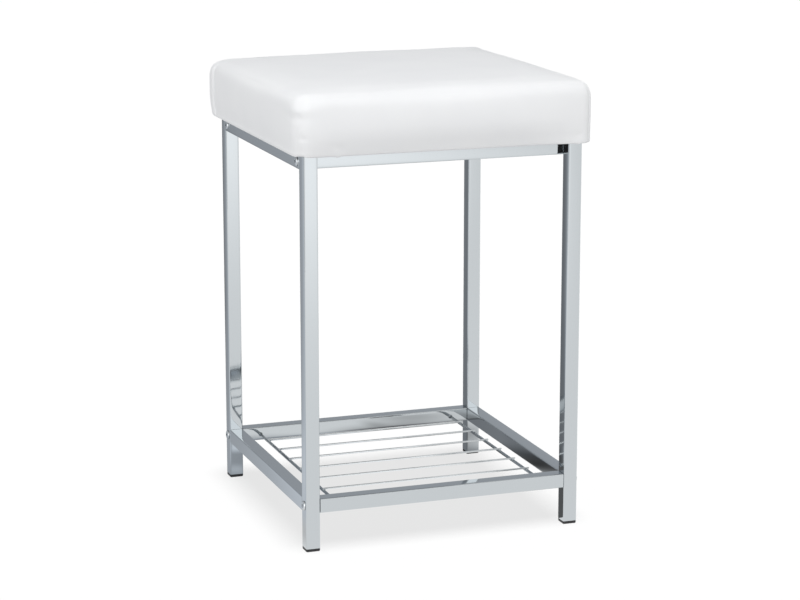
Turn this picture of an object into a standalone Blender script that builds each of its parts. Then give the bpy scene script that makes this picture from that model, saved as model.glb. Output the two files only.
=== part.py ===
# Square padded stool: a chromed square tube frame, a wire shelf between its lower rails and a padded seat.
# Metres, +Z up, the front towards -Y. The origin is on the floor, under the middle of the seat.

import math

import bmesh
import bpy

# Frame tube
TUBE = 0.016  # side of the square tube
TUBE_WALL = 0.001
TUBE_INSIDE_CORNER = 0.001  # radius inside the tube's corners

# Frame
FRAME_WIDTH = 0.318  # across the legs, left to right
FRAME_DEPTH = 0.318  # across the legs, front to back
LOWER_RAIL_LIFT = 0.043  # floor to the underside of the lower rails
UPPER_RAIL_LIFT = 0.418  # floor to the underside of the upper rails
GAP = 0.0003  # left between pieces that touch

# Foot caps
FOOT_SOLE = 0.003  # thickness under the leg
FOOT_SOLE_ROUND = 0.0008
FOOT_PLUG = 0.012  # length pushed into the leg

# Screws that hold the cross rails to the side frames
FRAME_SCREW = 0.006
FRAME_SCREW_HEAD = 0.0105
FRAME_SCREW_HEAD_HEIGHT = 0.0018
FRAME_SCREW_SOCKET = 0.004  # across the flats
FRAME_SCREW_SOCKET_DEPTH = 0.0015
FRAME_SCREW_BITE = 0.011  # length inside the insert
INSERT_LENGTH = 0.014

# Screws inside the upper cross rails, up through their top walls into the seat board
SEAT_SCREW = 0.004
SEAT_SCREW_HEAD = 0.008
SEAT_SCREW_HEAD_HEIGHT = 0.0024
SEAT_SCREW_SOCKET = 0.0025
SEAT_SCREW_SOCKET_DEPTH = 0.0012
SEAT_SCREW_BITE = 0.006  # length inside the board
SEAT_SCREW_INSET = 0.043  # from the end of the cross rail
SEAT_SCREW_ACCESS = 0.0095  # hole under the head, in the rail's bottom wall

# Wire shelf
END_WIRE = 0.0035
END_WIRE_LIFT = 0.007  # underside of the lower rails to the middle of the wire
END_WIRE_INSET = 0.022  # inner face of the side rail to the middle of the wire
SHELF_WIRE = 0.0022
SHELF_WIRE_PITCH = 0.042
SHELF_WIRE_MARGIN = 0.030  # least distance from the cross rails to the first wire
SHELF_WIRE_OVERHANG = 0.0018  # past the middle of the end wire

# Seat
SEAT_OVERHANG = 0.013  # of the cover's widest part past the frame
SEAT_EDGE_HEIGHT = 0.066  # of the cover, at its top edge
SEAT_CROWN = 0.004  # rise of the middle above the top edge
SEAT_CROWN_POWER = 4  # the higher it is, the flatter the middle
SEAT_SHOULDER = 0.014  # drop from the top edge to the widest part
SEAT_TOP_DRAW = 0.002  # how far the top edge is drawn in
SEAT_WAIST_DRAW = 0.0015  # how far the sides are drawn in between the corners
SEAT_FOOT_DRAW = 0.003  # how far the lower edge is drawn in
SEAT_CORNER_DRAW = 0.004  # how far the upright corners are drawn in
COVER = 0.0012  # thickness of the cover
COVER_EDGE = 0.006  # height and width of the turn at the lower edge
HEM_WIDTH = 0.028  # of the cover under the board
FOAM_EASE = 0.0006  # room between the foam and the cover
BOARD = 0.009
BOARD_SETBACK = 0.006  # from the cover's lower edge
BOARD_CORNER = 0.012
BOARD_ROUND = 0.002
CLOTH = 0.0008
CLOTH_SETBACK = 0.002  # from the hem and from the upper cross rails

# Fineness
TUBE_CORNER_STEPS = 3
ROUND_STEPS = 16
WIRE_BEVEL_STEPS = 2
HEAD_ARC_STEPS = 3
PAD_CELLS = 5  # cells along each side of the pad's cage
PAD_CROWDING = 2.4  # how strongly the cage's lines crowd towards the edges
MERGE = 0.00001  # points closer than this are one point
NEARLY = 0.99  # a share of a direction or of a half side that counts as the whole

SIDES = {"left": -1, "right": 1}
ENDS = {"front": -1, "rear": 1}
ALONG_X = (0, math.radians(90), 0)
ALONG_Y = (math.radians(90), 0, 0)

tube_bore = TUBE - 2 * TUBE_WALL
plug_width = tube_bore - 2 * GAP
rail_lift = {"lower": LOWER_RAIL_LIFT, "upper": UPPER_RAIL_LIFT}
frame_top = UPPER_RAIL_LIFT + TUBE
inner_width = FRAME_WIDTH - 2 * TUBE
inner_depth = FRAME_DEPTH - 2 * TUBE
cross_rail_length = inner_width - 2 * GAP
cross_rail_offset = {"lower": (FRAME_DEPTH - TUBE) / 2, "upper": (inner_depth - TUBE) / 2}

seat_bottom = frame_top + GAP
board_bottom = seat_bottom + COVER + GAP
board_top = board_bottom + BOARD
seat_top_edge = seat_bottom + SEAT_EDGE_HEIGHT
seat_half_width = FRAME_WIDTH / 2 + SEAT_OVERHANG
seat_half_depth = FRAME_DEPTH / 2 + SEAT_OVERHANG


def clear_scene():
    for thing in list(bpy.data.objects):
        bpy.data.objects.remove(thing)


def collection(name):
    made = bpy.data.collections.new(name)
    bpy.context.scene.collection.children.link(made)
    return made


def finish(name, colour, roughness, metallic=0.0):
    material = bpy.data.materials.new(name)
    material.use_nodes = True
    shader = material.node_tree.nodes["Principled BSDF"]
    shader.inputs["Base Color"].default_value = (*colour, 1.0)
    shader.inputs["Roughness"].default_value = roughness
    shader.inputs["Metallic"].default_value = metallic
    return material


def mesh_of(name, shape):
    bmesh.ops.recalc_face_normals(shape, faces=shape.faces)
    mesh = bpy.data.meshes.new(name)
    shape.to_mesh(mesh)
    shape.free()
    return mesh


def add_piece(name, data, material, location=(0, 0, 0), rotation=(0, 0, 0)):
    piece = bpy.data.objects.new(name, data)
    piece.location = location
    piece.rotation_euler = rotation
    piece.parent = stool
    if not data.materials:
        data.materials.append(material)
    parts.objects.link(piece)
    return piece


def add_cutter(name, mesh, location, rotation=(0, 0, 0)):
    cutter = bpy.data.objects.new(name, mesh)
    cutter.location = location
    cutter.rotation_euler = rotation
    cutter.parent = stool
    cutter.display_type = "WIRE"
    cutter.hide_render = True
    cutters.objects.link(cutter)
    return cutter


def cut(piece, cutter):
    boolean = piece.modifiers.new(cutter.name, "BOOLEAN")
    boolean.operation = "DIFFERENCE"
    boolean.object = cutter


def box_shape(width, depth, height):
    shape = bmesh.new()
    bmesh.ops.create_cube(shape, size=1.0)
    bmesh.ops.scale(shape, vec=(width, depth, height), verts=shape.verts)
    shape.normal_update()
    return shape


def round_edges(shape, edges, radius, steps):
    bmesh.ops.bevel(
        shape, geom=edges, offset=radius, offset_type="OFFSET", segments=steps, profile=0.5, affect="EDGES"
    )
    shape.normal_update()


def upright_edges(shape):
    def rise(edge):
        return (edge.verts[0].co - edge.verts[1].co).normalized().z

    return [edge for edge in shape.edges if abs(rise(edge)) > NEARLY]


def faces_towards(shape, z_sign):
    return [face for face in shape.faces if face.normal.z * z_sign > NEARLY]


def cylinder_mesh(name, diameter, length, steps=ROUND_STEPS):
    shape = bmesh.new()
    bmesh.ops.create_cone(
        shape, cap_ends=True, segments=steps, radius1=diameter / 2, radius2=diameter / 2, depth=length
    )
    return mesh_of(name, shape)


def add_tube(name, length, location, rotation=(0, 0, 0)):
    """A square tube, open at both ends, that runs along its own Z."""
    shape = box_shape(TUBE, TUBE, length)
    round_edges(shape, upright_edges(shape), TUBE_INSIDE_CORNER + TUBE_WALL, TUBE_CORNER_STEPS)
    ends = faces_towards(shape, 1) + faces_towards(shape, -1)
    bmesh.ops.delete(shape, geom=ends, context="FACES_ONLY")
    tube = add_piece(name, mesh_of(name, shape), chrome, location, rotation)
    wall = tube.modifiers.new("wall", "SOLIDIFY")
    wall.thickness = TUBE_WALL
    wall.offset = -1
    wall.use_even_offset = True
    return tube


def add_legs():
    bottom = FOOT_SOLE + GAP
    length = frame_top - bottom
    legs = {}
    for end, end_sign in ENDS.items():
        for side, side_sign in SIDES.items():
            x = side_sign * (FRAME_WIDTH - TUBE) / 2
            y = end_sign * (FRAME_DEPTH - TUBE) / 2
            legs[end, side] = add_tube(f"leg_{end}_{side}", length, (x, y, bottom + length / 2))
            add_foot_cap(f"foot_cap_{end}_{side}", (x, y, 0))
    return legs


def add_foot_cap(name, location):
    """A sole as wide as the tube, with a plug above it that fills the tube's bore."""
    shape = box_shape(TUBE, TUBE, FOOT_SOLE)
    bmesh.ops.translate(shape, vec=(0, 0, FOOT_SOLE / 2), verts=shape.verts)
    round_edges(shape, upright_edges(shape), TUBE_INSIDE_CORNER + TUBE_WALL, TUBE_CORNER_STEPS)
    sole_rim = [edge for face in faces_towards(shape, -1) for edge in face.edges]
    round_edges(shape, sole_rim, FOOT_SOLE_ROUND, 1)
    seat = faces_towards(shape, 1)
    bmesh.ops.inset_region(shape, faces=seat, thickness=TUBE_WALL + GAP, use_even_offset=True)
    grown = bmesh.ops.extrude_face_region(shape, geom=seat)["geom"]
    raised = [item for item in grown if isinstance(item, bmesh.types.BMVert)]
    bmesh.ops.translate(shape, vec=(0, 0, FOOT_PLUG), verts=raised)
    bmesh.ops.delete(shape, geom=seat, context="FACES")
    add_piece(name, mesh_of(name, shape), black_plastic, location)


def add_side_rails():
    length = inner_depth - 2 * GAP
    rails = {}
    for level, lift in rail_lift.items():
        for side, sign in SIDES.items():
            place = (sign * (FRAME_WIDTH - TUBE) / 2, 0, lift + TUBE / 2)
            rails[level, side] = add_tube(f"{level}_side_rail_{side}", length, place, ALONG_Y)
    return rails


def add_cross_rails():
    rails = {}
    for level, lift in rail_lift.items():
        for end, sign in ENDS.items():
            place = (0, sign * cross_rail_offset[level], lift + TUBE / 2)
            rails[level, end] = add_tube(f"{level}_cross_rail_{end}", cross_rail_length, place, ALONG_X)
    return rails


def add_insert(name, location):
    """A threaded plug, flush with the end of a cross rail."""
    shape = box_shape(plug_width, plug_width, INSERT_LENGTH)
    round_edges(shape, upright_edges(shape), TUBE_INSIDE_CORNER, TUBE_CORNER_STEPS)
    return add_piece(name, mesh_of(name, shape), zinc, location, ALONG_X)


def screw_profile(name, shank, head, head_height, length):
    """Half of a button head screw, from the top of its head down to the end of its shank."""
    outline = []
    for step in range(HEAD_ARC_STEPS + 1):
        turn = math.radians(90) * step / HEAD_ARC_STEPS
        outline.append((head / 2 * math.sin(turn), head_height * math.cos(turn)))
    outline += [(shank / 2, 0), (shank / 2, -length), (0, -length)]
    mesh = bpy.data.meshes.new(name)
    points = [(x, 0, z) for x, z in outline]
    mesh.from_pydata(points, [(step, step + 1) for step in range(len(points) - 1)], [])
    return mesh


def add_screw(name, profile, socket, location, rotation=(0, 0, 0)):
    """A turned screw whose head stands on its own +Z, with a hexagon socket in the head."""
    screw = add_piece(name, profile, zinc, location, rotation)
    turned = screw.modifiers.new("turned", "SCREW")
    turned.axis = "Z"
    turned.steps = turned.render_steps = ROUND_STEPS
    turned.use_merge_vertices = True
    turned.merge_threshold = MERGE
    cut(screw, add_cutter(f"{name}_socket", socket, location, rotation))


def socket_mesh(name, flats, head_height, depth):
    """A hexagon that reaches from the bottom of the socket to clear of the head."""
    mesh = cylinder_mesh(name, flats / math.cos(math.radians(30)), 2 * depth, steps=6)
    for vertex in mesh.vertices:
        vertex.co.z += head_height
    return mesh


def join_cross_rails(legs, side_rails):
    """Each cross rail has an insert in each end, held by a screw through the leg or the side rail."""
    reach = GAP + TUBE + GAP + FRAME_SCREW_BITE
    profile = screw_profile("frame_screw", FRAME_SCREW, FRAME_SCREW_HEAD, FRAME_SCREW_HEAD_HEIGHT, reach)
    socket = socket_mesh(
        "frame_screw_socket", FRAME_SCREW_SOCKET, FRAME_SCREW_HEAD_HEIGHT, FRAME_SCREW_SOCKET_DEPTH
    )
    drill_length = 2 * (TUBE + INSERT_LENGTH)
    drill = cylinder_mesh("frame_screw_hole", FRAME_SCREW + 2 * GAP, drill_length)
    for level, lift in rail_lift.items():
        for end, end_sign in ENDS.items():
            for side, side_sign in SIDES.items():
                place = f"{level}_{end}_{side}"
                y = end_sign * cross_rail_offset[level]
                z = lift + TUBE / 2
                insert_x = side_sign * (cross_rail_length - INSERT_LENGTH) / 2
                insert = add_insert(f"rail_insert_{place}", (insert_x, y, z))
                hole = add_cutter(f"hole_{place}", drill, (side_sign * FRAME_WIDTH / 2, y, z), ALONG_X)
                cut(insert, hole)
                cut(side_rails[level, side] if level == "upper" else legs[end, side], hole)
                head = (side_sign * (FRAME_WIDTH / 2 + GAP), y, z)
                outward = (0, side_sign * math.radians(90), 0)
                add_screw(f"frame_screw_{place}", profile, socket, head, outward)


def add_shelf():
    lift = LOWER_RAIL_LIFT + END_WIRE_LIFT
    end_x = inner_width / 2 - END_WIRE_INSET
    end_y = inner_depth / 2 - GAP
    for side, sign in SIDES.items():
        x = sign * end_x
        add_wire(f"shelf_end_wire_{side}", END_WIRE, (x, -end_y, lift), (x, end_y, lift))
    lift += (END_WIRE + SHELF_WIRE) / 2 + GAP
    tip = end_x + SHELF_WIRE_OVERHANG
    spaces = int((inner_depth - 2 * SHELF_WIRE_MARGIN) / SHELF_WIRE_PITCH)
    for number in range(spaces + 1):
        y = (number - spaces / 2) * SHELF_WIRE_PITCH
        add_wire(f"shelf_wire_{number + 1}", SHELF_WIRE, (-tip, y, lift), (tip, y, lift))


def add_wire(name, diameter, start, end):
    curve = bpy.data.curves.new(name, "CURVE")
    curve.dimensions = "3D"
    curve.bevel_depth = diameter / 2
    curve.bevel_resolution = WIRE_BEVEL_STEPS
    curve.use_fill_caps = True
    path = curve.splines.new("POLY")
    path.points.add(1)
    path.points[0].co = (*start, 1)
    path.points[1].co = (*end, 1)
    add_piece(name, curve, chrome)


def crowded(share):
    """Moves a line of the pad's cage, from -1 to 1 across the pad, towards the nearer edge."""
    return math.copysign(1 - (1 - abs(share)) ** PAD_CROWDING, share)


def pad_shape(inset, bottom, lower_rings):
    """The pad's cage: a crowned top, and sides that go down ring by ring.

    Each lower ring is a draw, from the widest part inwards, and a height above the bottom."""
    top = seat_top_edge - inset
    shape = bmesh.new()
    bmesh.ops.create_grid(shape, x_segments=PAD_CELLS, y_segments=PAD_CELLS, size=1.0)
    shares = {vertex: vertex.co.xy for vertex in shape.verts}
    rim = {vertex: vertex.co.copy() for vertex in shape.verts if max(map(abs, vertex.co.xy)) > NEARLY}
    edges = [edge for edge in shape.edges if edge.is_boundary]
    for vertex, share in shares.items():
        crown = SEAT_CROWN * (1 - share.x**SEAT_CROWN_POWER) * (1 - share.y**SEAT_CROWN_POWER)
        draw = (SEAT_TOP_DRAW + inset) if vertex in rim else inset
        place_in_pad(vertex, share.copy(), draw, top + crown)
    shoulder = (inset, top - SEAT_SHOULDER)
    waist = (inset + SEAT_WAIST_DRAW, (top - SEAT_SHOULDER + bottom + COVER_EDGE) / 2)
    for draw, height in (shoulder, waist, *((inset + draw, bottom + rise) for draw, rise in lower_rings)):
        ring = bmesh.ops.extrude_edge_only(shape, edges=edges)["geom"]
        edges = [item for item in ring if isinstance(item, bmesh.types.BMEdge)]
        fresh = {item for item in ring if isinstance(item, bmesh.types.BMVert)}
        next_rim = {}
        for vertex in fresh:
            neighbours = [edge.other_vert(vertex) for edge in vertex.link_edges]
            above = next(neighbour for neighbour in neighbours if neighbour in rim)
            next_rim[vertex] = rim[above]
            place_in_pad(vertex, rim[above].xy, draw, height)
        rim = next_rim
    return shape, edges


def place_in_pad(vertex, share, draw, height):
    corner = SEAT_CORNER_DRAW if min(map(abs, share)) > NEARLY else 0
    vertex.co.x = crowded(share.x) * (seat_half_width - draw - corner)
    vertex.co.y = crowded(share.y) * (seat_half_depth - draw - corner)
    vertex.co.z = height


def smooth_pad(piece):
    smooth = piece.modifiers.new("smooth", "SUBSURF")
    smooth.levels = smooth.render_levels = 1
    piece.data.shade_smooth()


def add_cover():
    """The cover is open under the board, inside its hem."""
    turn = (
        (SEAT_FOOT_DRAW, COVER_EDGE),
        (SEAT_FOOT_DRAW, 0),
        (SEAT_FOOT_DRAW + COVER_EDGE, 0),
        (SEAT_FOOT_DRAW + HEM_WIDTH, 0),
    )
    shape, _ = pad_shape(0, seat_bottom, turn)
    cover = add_piece("seat_cover", mesh_of("seat_cover", shape), faux_leather)
    smooth_pad(cover)
    wall = cover.modifiers.new("wall", "SOLIDIFY")
    wall.thickness = COVER
    wall.offset = -1
    wall.use_even_offset = True


def add_foam():
    inset = COVER + FOAM_EASE
    turn = ((SEAT_FOOT_DRAW, 0), (SEAT_FOOT_DRAW + HEM_WIDTH, 0))
    shape, edges = pad_shape(inset, board_top + GAP, turn)
    bmesh.ops.holes_fill(shape, edges=edges, sides=len(edges))
    foam = add_piece("seat_foam", mesh_of("seat_foam", shape), foam_rubber)
    smooth_pad(foam)


def add_board(cross_rails):
    """The board lies on the cover's hem, held by screws whose heads are inside the upper cross rails."""
    setback = SEAT_FOOT_DRAW + BOARD_SETBACK
    shape = box_shape(2 * (seat_half_width - setback), 2 * (seat_half_depth - setback), BOARD)
    round_edges(shape, upright_edges(shape), BOARD_CORNER, TUBE_CORNER_STEPS)
    rims = [edge for face in faces_towards(shape, -1) for edge in face.edges]
    round_edges(shape, rims, BOARD_ROUND, 1)
    board = add_piece("seat_board", mesh_of("seat_board", shape), plywood, (0, 0, board_bottom + BOARD / 2))
    head_seat = frame_top - TUBE_WALL - GAP
    reach = board_bottom - head_seat + SEAT_SCREW_BITE
    profile = screw_profile("seat_screw", SEAT_SCREW, SEAT_SCREW_HEAD, SEAT_SCREW_HEAD_HEIGHT, reach)
    socket = socket_mesh(
        "seat_screw_socket", SEAT_SCREW_SOCKET, SEAT_SCREW_HEAD_HEIGHT, SEAT_SCREW_SOCKET_DEPTH
    )
    drill = cylinder_mesh("seat_screw_hole", SEAT_SCREW + 2 * GAP, 2 * (reach + GAP))
    opener = cylinder_mesh("seat_screw_access", SEAT_SCREW_ACCESS, 4 * TUBE_WALL)
    head_down = (math.radians(180), 0, 0)
    for end, end_sign in ENDS.items():
        for side, side_sign in SIDES.items():
            x = side_sign * (cross_rail_length / 2 - SEAT_SCREW_INSET)
            y = end_sign * cross_rail_offset["upper"]
            head = (x, y, head_seat)
            hole = add_cutter(f"seat_screw_hole_{end}_{side}", drill, head)
            access = add_cutter(f"seat_screw_access_{end}_{side}", opener, (x, y, UPPER_RAIL_LIFT))
            cut(cross_rails["upper", end], hole)
            cut(cross_rails["upper", end], access)
            cut(board, hole)
            add_screw(f"seat_screw_{end}_{side}", profile, socket, head, head_down)


def add_underside_cloth():
    """A thin sheet on the board, inside the hem and between the upper cross rails."""
    width = 2 * (seat_half_width - SEAT_FOOT_DRAW - HEM_WIDTH - CLOTH_SETBACK)
    depth = 2 * (cross_rail_offset["upper"] - TUBE / 2 - CLOTH_SETBACK)
    shape = box_shape(width, depth, CLOTH)
    place = (0, 0, board_bottom - GAP - CLOTH / 2)
    add_piece("underside_cloth", mesh_of("underside_cloth", shape), black_cloth, place)


clear_scene()
parts = collection("padded_stool")
cutters = collection("padded_stool_cutters")
stool = bpy.data.objects.new("stool_origin", None)
parts.objects.link(stool)

chrome = finish("chromed_steel", (0.62, 0.63, 0.65), 0.08, 1.0)
zinc = finish("zinc_plated_steel", (0.55, 0.56, 0.57), 0.3, 1.0)
black_plastic = finish("black_plastic", (0.015, 0.015, 0.016), 0.5)
faux_leather = finish("white_faux_leather", (0.86, 0.86, 0.87), 0.4)
foam_rubber = finish("seat_foam", (0.8, 0.74, 0.52), 0.9)
plywood = finish("plywood", (0.5, 0.34, 0.19), 0.7)
black_cloth = finish("black_nonwoven_cloth", (0.03, 0.03, 0.03), 0.95)

frame_legs = add_legs()
frame_side_rails = add_side_rails()
frame_cross_rails = add_cross_rails()
join_cross_rails(frame_legs, frame_side_rails)
add_shelf()
add_cover()
add_foam()
add_board(frame_cross_rails)
add_underside_cloth()
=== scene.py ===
import math

import bmesh
import bpy
from mathutils import Matrix, Vector, noise


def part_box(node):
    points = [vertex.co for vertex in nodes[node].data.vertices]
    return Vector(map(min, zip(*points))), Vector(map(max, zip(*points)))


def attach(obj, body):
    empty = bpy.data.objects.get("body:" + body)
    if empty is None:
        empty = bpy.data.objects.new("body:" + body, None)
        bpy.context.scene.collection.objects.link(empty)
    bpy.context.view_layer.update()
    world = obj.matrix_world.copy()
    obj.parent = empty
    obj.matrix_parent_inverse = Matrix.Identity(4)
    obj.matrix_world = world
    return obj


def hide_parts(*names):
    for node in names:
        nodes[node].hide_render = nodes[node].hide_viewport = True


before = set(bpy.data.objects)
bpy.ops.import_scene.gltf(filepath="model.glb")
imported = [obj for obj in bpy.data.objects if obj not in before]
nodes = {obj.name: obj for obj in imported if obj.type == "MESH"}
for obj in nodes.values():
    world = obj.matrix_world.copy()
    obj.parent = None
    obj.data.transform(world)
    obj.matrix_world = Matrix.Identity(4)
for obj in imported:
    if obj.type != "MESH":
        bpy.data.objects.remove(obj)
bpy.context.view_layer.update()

mm = 0.001
hair = 0.01 * mm   # a shorter length counts as nothing
mostly = 0.9       # a face whose normal has this much of a direction faces that way
capCorners = 8     # only the caps at the ends of a shape have more corners than this
scene = bpy.context.scene
print("frame loaded:", len(nodes), "CAD nodes")


# small helpers shared by the pieces
def linearColour(code):
    parts = [int(code[i:i + 2], 16) / 255 for i in (1, 3, 5)]
    return (*(p / 12.92 if p <= 0.04045 else ((p + 0.055) / 1.055) ** 2.4 for p in parts), 1.0)


def linkInputs(tree, node, links):
    for name, (source, output) in links.items():
        tree.links.new(source.outputs[output], node.inputs[name])


def addNode(tree, kind, values=None, links=None, **settings):
    node = tree.nodes.new(kind)
    for name, value in settings.items():
        setattr(node, name, value)
    for name, value in (values or {}).items():
        node.inputs[name].default_value = value
    linkInputs(tree, node, links or {})
    return node


def startMaterial(name, **sockets):
    material = bpy.data.materials.new(name)
    material.use_nodes = True
    shader = material.node_tree.nodes["Principled BSDF"]
    for socket, value in sockets.items():
        shader.inputs[socket.replace("_", " ")].default_value = value
    return material, material.node_tree, shader


def easeStep(low, high, value):
    share = min(1.0, max(0.0, (value - low) / (high - low)))
    return share * share * (3 - 2 * share)


def bell(distance, width):
    return math.exp(-(distance / width) ** 2)


def finishPiece(bm, name, material, replaced, sharp=18):
    # smooth shading with hard edges where faces meet at more than the sharp angle
    bmesh.ops.recalc_face_normals(bm, faces=bm.faces)
    for face in bm.faces:
        face.smooth = True
    for edge in bm.edges:
        edge.smooth = edge.calc_face_angle(0.0) < math.radians(sharp)
    mesh = bpy.data.meshes.new(name)
    bm.to_mesh(mesh)
    bm.free()
    mesh.materials.append(material)
    piece = bpy.data.objects.new(name, mesh)
    scene.collection.objects.link(piece)
    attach(piece, "root")
    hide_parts(*replaced)
    return piece


# camera, at the photograph's viewing angle
cameraSetup = {
    "lens": 113.88,
    "place": (-0.9381, -2.661, 0.8652),
    "turn": 19.513,      # degrees, to the right of straight ahead
    "tilt": 12.581,      # degrees, below the horizon
}
cameraData = bpy.data.cameras.new("camera")
cameraData.lens = cameraSetup["lens"]
camera = bpy.data.objects.new("camera", cameraData)
camera.location = cameraSetup["place"]
camera.rotation_euler = (math.radians(90 - cameraSetup["tilt"]), 0, math.radians(-cameraSetup["turn"]))
scene.collection.objects.link(camera)
scene.camera = camera
scene.view_settings.view_transform = "Standard"
print("camera placed")

# bright chromium plate on polished steel: a near mirror with a faint cool tint, softened a little by
# polishing haze, with shallow waves a few centimetres long from the drawing
chromeFinish = {
    "hazeSize": 14 * mm,
    "hazeShares": (0.7, 1.5),  # of the roughness, in the clearest and in the haziest patches
    "tube": {"colour": "#C1C6C9", "roughness": 0.05, "waveLength": 45 * mm, "waveHeight": 0.05 * mm},
    # the same plate on all three: the rod's darker colour is painted shade, and the wire's lighter colour a
    # painted highlight, for how their reflections look
    "rod": {"colour": "#A2A8AC", "roughness": 0.05, "waveLength": 30 * mm, "waveHeight": 0.006 * mm},
    "wire": {"colour": "#E4E8EA", "roughness": 0.17, "waveLength": 30 * mm, "waveHeight": 0.006 * mm},
}


def chromePlate(name, finish):
    material, tree, shader = startMaterial(name, Metallic=1.0, Base_Color=linearColour(finish["colour"]))
    place = addNode(tree, "ShaderNodeTexCoord")
    haze = addNode(tree, "ShaderNodeTexNoise",
                   {"Scale": 1 / chromeFinish["hazeSize"], "Detail": 4.0, "Roughness": 0.6},
                   {"Vector": (place, "Object")})
    least, most = (finish["roughness"] * share for share in chromeFinish["hazeShares"])
    spread = addNode(tree, "ShaderNodeMapRange",
                     {"From Min": 0.3, "From Max": 0.75, "To Min": least, "To Max": most},
                     {"Value": (haze, "Fac")})
    waves = addNode(tree, "ShaderNodeTexNoise", {"Scale": 1 / finish["waveLength"], "Detail": 1.0},
                    {"Vector": (place, "Object")})
    bump = addNode(tree, "ShaderNodeBump", {"Strength": 1.0, "Distance": finish["waveHeight"]},
                   {"Height": (waves, "Fac")})
    linkInputs(tree, shader, {"Roughness": (spread, "Result"), "Normal": (bump, "Normal")})
    return material


tubeChrome = chromePlate("bright chromium plate on drawn steel tube", chromeFinish["tube"])
rodChrome = chromePlate("bright chromium plate on steel rod", chromeFinish["rod"])
wireChrome = chromePlate("bright chromium plate on steel wire", chromeFinish["wire"])


# zinc-plated steel: a duller, greyer metal than the chrome;
# the crystals of the plating are too fine to show, so they are drawn as clouds 1.5 mm across
def screwMetal():
    material, tree, shader = startMaterial("zinc plated steel", Metallic=1.0,
                                           Base_Color=linearColour("#CDD0D2"))
    place = addNode(tree, "ShaderNodeTexCoord")
    cloud = addNode(tree, "ShaderNodeTexNoise", {"Scale": 1 / (1.5 * mm), "Detail": 3.0},
                    {"Vector": (place, "Object")})
    spread = addNode(tree, "ShaderNodeMapRange", {"To Min": 0.16, "To Max": 0.34}, {"Value": (cloud, "Fac")})
    bump = addNode(tree, "ShaderNodeBump", {"Strength": 0.25, "Distance": 0.05 * mm},
                   {"Height": (cloud, "Fac")})
    linkInputs(tree, shader, {"Roughness": (spread, "Result"), "Normal": (bump, "Normal")})
    return material


zincSteel = screwMetal()


# moulded black polyethylene: deep black, half matt, with the 0.8 mm grain of a spark-eroded mould
def footPlastic():
    material, tree, shader = startMaterial("moulded black polyethylene", IOR=1.51)
    place = addNode(tree, "ShaderNodeTexCoord")
    grain = addNode(tree, "ShaderNodeTexNoise", {"Scale": 1 / (0.8 * mm), "Detail": 3.0},
                    {"Vector": (place, "Object")})
    tone = addNode(tree, "ShaderNodeMix", {"A": linearColour("#19191B"), "B": linearColour("#29292C")},
                   {"Factor": (grain, "Fac")}, data_type="RGBA")
    spread = addNode(tree, "ShaderNodeMapRange", {"To Min": 0.4, "To Max": 0.6}, {"Value": (grain, "Fac")})
    bump = addNode(tree, "ShaderNodeBump", {"Strength": 0.4, "Distance": 0.05 * mm},
                   {"Height": (grain, "Fac")})
    linkInputs(tree, shader, {"Base Color": (tone, "Result"), "Roughness": (spread, "Result"),
                              "Normal": (bump, "Normal")})
    return material


blackPolyethylene = footPlastic()


# vinyl faux leather: white, satin, with a pebbled grain pressed into the coating;
# the real grain of about 0.8 mm is too fine to show, so it is drawn 1.6 mm across
def fauxLeather():
    material, tree, shader = startMaterial("white vinyl faux leather", IOR=1.5, Roughness=0.5,
                                           Specular_IOR_Level=0.2)
    place = addNode(tree, "ShaderNodeTexCoord")
    drift = addNode(tree, "ShaderNodeTexNoise", {"Scale": 1 / (60 * mm), "Detail": 3.0},
                    {"Vector": (place, "Object")})
    tone = addNode(tree, "ShaderNodeMix", {"A": linearColour("#E8E9EB"), "B": linearColour("#EEEFF0")},
                   {"Factor": (drift, "Fac")}, data_type="RGBA")
    pebble = addNode(tree, "ShaderNodeTexVoronoi", {"Scale": 1 / (1.6 * mm)}, {"Vector": (place, "Object")},
                     feature="SMOOTH_F1")
    spread = addNode(tree, "ShaderNodeMapRange", {"To Min": 0.44, "To Max": 0.58},
                     {"Value": (pebble, "Distance")})
    bump = addNode(tree, "ShaderNodeBump", {"Strength": 0.12, "Distance": 0.1 * mm},
                   {"Height": (pebble, "Distance")}, invert=True)
    linkInputs(tree, shader, {"Base Color": (tone, "Result"), "Roughness": (spread, "Result"),
                              "Normal": (bump, "Normal")})
    return material


whiteVinyl = fauxLeather()


# birch plywood: pale warm wood with grain along X and darker glue lines between 1.5 mm plies
def plywood():
    material, tree, shader = startMaterial("birch plywood", IOR=1.5, Roughness=0.62)
    place = addNode(tree, "ShaderNodeTexCoord")
    stretch = addNode(tree, "ShaderNodeMapping", {"Scale": (1.0, 14.0, 3.0)}, {"Vector": (place, "Object")})
    grain = addNode(tree, "ShaderNodeTexNoise", {"Scale": 1 / (60 * mm), "Detail": 6.0, "Distortion": 0.6},
                    {"Vector": (stretch, "Vector")})
    tone = addNode(tree, "ShaderNodeMix", {"A": linearColour("#B88D5C"), "B": linearColour("#DDBE90")},
                   {"Factor": (grain, "Fac")}, data_type="RGBA")
    twoPlies = 3 * mm   # the wave node repeats after 2 pi / 20 at a scale of 1
    plies = addNode(tree, "ShaderNodeTexWave", {"Scale": 2 * math.pi / (20 * twoPlies)},
                    {"Vector": (place, "Object")}, bands_direction="Z")
    glue = addNode(tree, "ShaderNodeMix", {"Factor": 0.35}, {"A": (tone, "Result"), "B": (plies, "Color")},
                   data_type="RGBA", blend_type="MULTIPLY")
    bump = addNode(tree, "ShaderNodeBump", {"Strength": 0.3, "Distance": 0.1 * mm},
                   {"Height": (grain, "Fac")})
    linkInputs(tree, shader, {"Base Color": (glue, "Result"), "Normal": (bump, "Normal")})
    return material


birchPlywood = plywood()


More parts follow.
